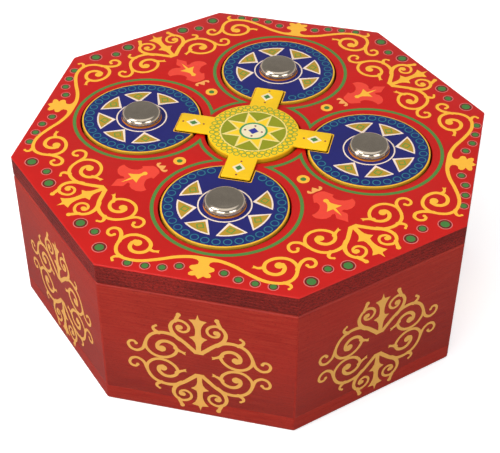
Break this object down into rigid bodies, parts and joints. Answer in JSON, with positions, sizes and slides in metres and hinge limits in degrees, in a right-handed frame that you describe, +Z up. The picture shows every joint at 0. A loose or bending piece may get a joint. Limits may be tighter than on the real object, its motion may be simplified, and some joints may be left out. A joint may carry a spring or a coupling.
{
  "type": "jack in the box",
  "caption": "Octagonal painted wooden box whose hinged lid carries rotary lock dials under a cross; a sprung jester puppet rises as the lid opens.",
  "frame": {"origin": "centre of the face the box stands on", "axes": "+Z up through the lid, -Y out of the front wall, +Y towards the hinges, +X to the right seen from the front"},
  "size_m": [0.16, 0.1641, 0.0664],
  "materials": {
    "red_top_paint": "bright red satin paint over plywood",
    "red_side_paint": "red-brown satin paint over wood, grain showing",
    "yellow_paint": "bright yellow satin paint over plywood",
    "dial_paint": "dark blue satin paint with coloured ornament over yellow-stained wood",
    "plywood": "bare birch plywood, edge plies showing",
    "bare_beech": "bare turned beech",
    "polished_steel": "polished nickel-plated steel",
    "steel": "zinc-plated steel",
    "brass": "lightly tarnished brass",
    "gown_cloth": "plain woven cotton, gathered",
    "ruff_cloth": "cream cotton, pleated",
    "hat_felt": "wool felt",
    "head_paint": "turned beech, thin skin-tone paint",
    "nose_paint": "glossy red paint on a wooden ball"
  },
  "bodies": {
    "box": {"base_board": "red_side_paint", "wall_front": "red_side_paint", "wall_front_right": "red_side_paint", "wall_right": "red_side_paint", "wall_rear_right": "red_side_paint", "wall_rear": "red_side_paint", "wall_rear_left": "red_side_paint", "wall_left": "red_side_paint", "wall_front_left": "red_side_paint", "keeper_front": "bare_beech", "keeper_right": "bare_beech", "keeper_rear": "bare_beech", "keeper_left": "bare_beech", "hinge_box_leaf_left": "brass", "hinge_box_leaf_right": "brass", "hinge_pins": "steel", "hinge_box_screws": "brass", "spring_seat": "bare_beech", "spring_seat_screws": "brass"},
    "lid": {"lid_backing_board": "plywood", "lid_face_board": "red_top_paint", "cross_hub": "yellow_paint", "cross_plate": "yellow_paint", "cross_screw": "brass", "hinge_lid_leaf_left": "brass", "hinge_lid_leaf_right": "brass", "hinge_lid_screws": "brass"},
    "dial_front": {"dial_front_wheel": "dial_paint", "dial_front_knob": "polished_steel", "dial_front_shaft": "steel", "dial_front_latch": "steel", "dial_front_nut": "steel"},
    "dial_right": {"dial_right_wheel": "dial_paint", "dial_right_knob": "polished_steel", "dial_right_shaft": "steel", "dial_right_latch": "steel", "dial_right_nut": "steel"},
    "dial_rear": {"dial_rear_wheel": "dial_paint", "dial_rear_knob": "polished_steel", "dial_rear_shaft": "steel", "dial_rear_latch": "steel", "dial_rear_nut": "steel"},
    "dial_left": {"dial_left_wheel": "dial_paint", "dial_left_knob": "polished_steel", "dial_left_shaft": "steel", "dial_left_latch": "steel", "dial_left_nut": "steel"},
    "jack": {"spring": "steel", "spring_cap": "bare_beech", "neck_dowel": "bare_beech", "torso": "bare_beech", "gown": "gown_cloth", "ruff": "ruff_cloth", "head": "head_paint", "nose": "nose_paint", "hat": "hat_felt", "hat_bells": "brass"}
  },
  "joints": [
    {"name": "lid_hinge", "type": "hinge", "parent": "box", "child": "lid", "pos_m": [0, 0.0821, 0.0545], "axis": [-1, 0, 0], "range_deg": [0, 110]},
    {"name": "dial_front_turn", "type": "hinge", "parent": "lid", "child": "dial_front", "pos_m": [0, -0.042, 0.058], "axis": [0, 0, 1], "continuous": true},
    {"name": "dial_right_turn", "type": "hinge", "parent": "lid", "child": "dial_right", "pos_m": [0.042, 0, 0.058], "axis": [0, 0, 1], "continuous": true},
    {"name": "dial_rear_turn", "type": "hinge", "parent": "lid", "child": "dial_rear", "pos_m": [0, 0.042, 0.058], "axis": [0, 0, 1], "continuous": true},
    {"name": "dial_left_turn", "type": "hinge", "parent": "lid", "child": "dial_left", "pos_m": [-0.042, 0, 0.058], "axis": [0, 0, 1], "continuous": true},
    {"name": "jack_rise", "type": "slide", "parent": "box", "child": "jack", "axis": [0, 0, 1], "range_m": [0, 0.1155], "deforming": ["spring", "gown"]}
  ],
  "couplings": [
    {"joint": "jack_rise", "follows": "lid_hinge", "m_per_rad": 0.06}
  ]
}
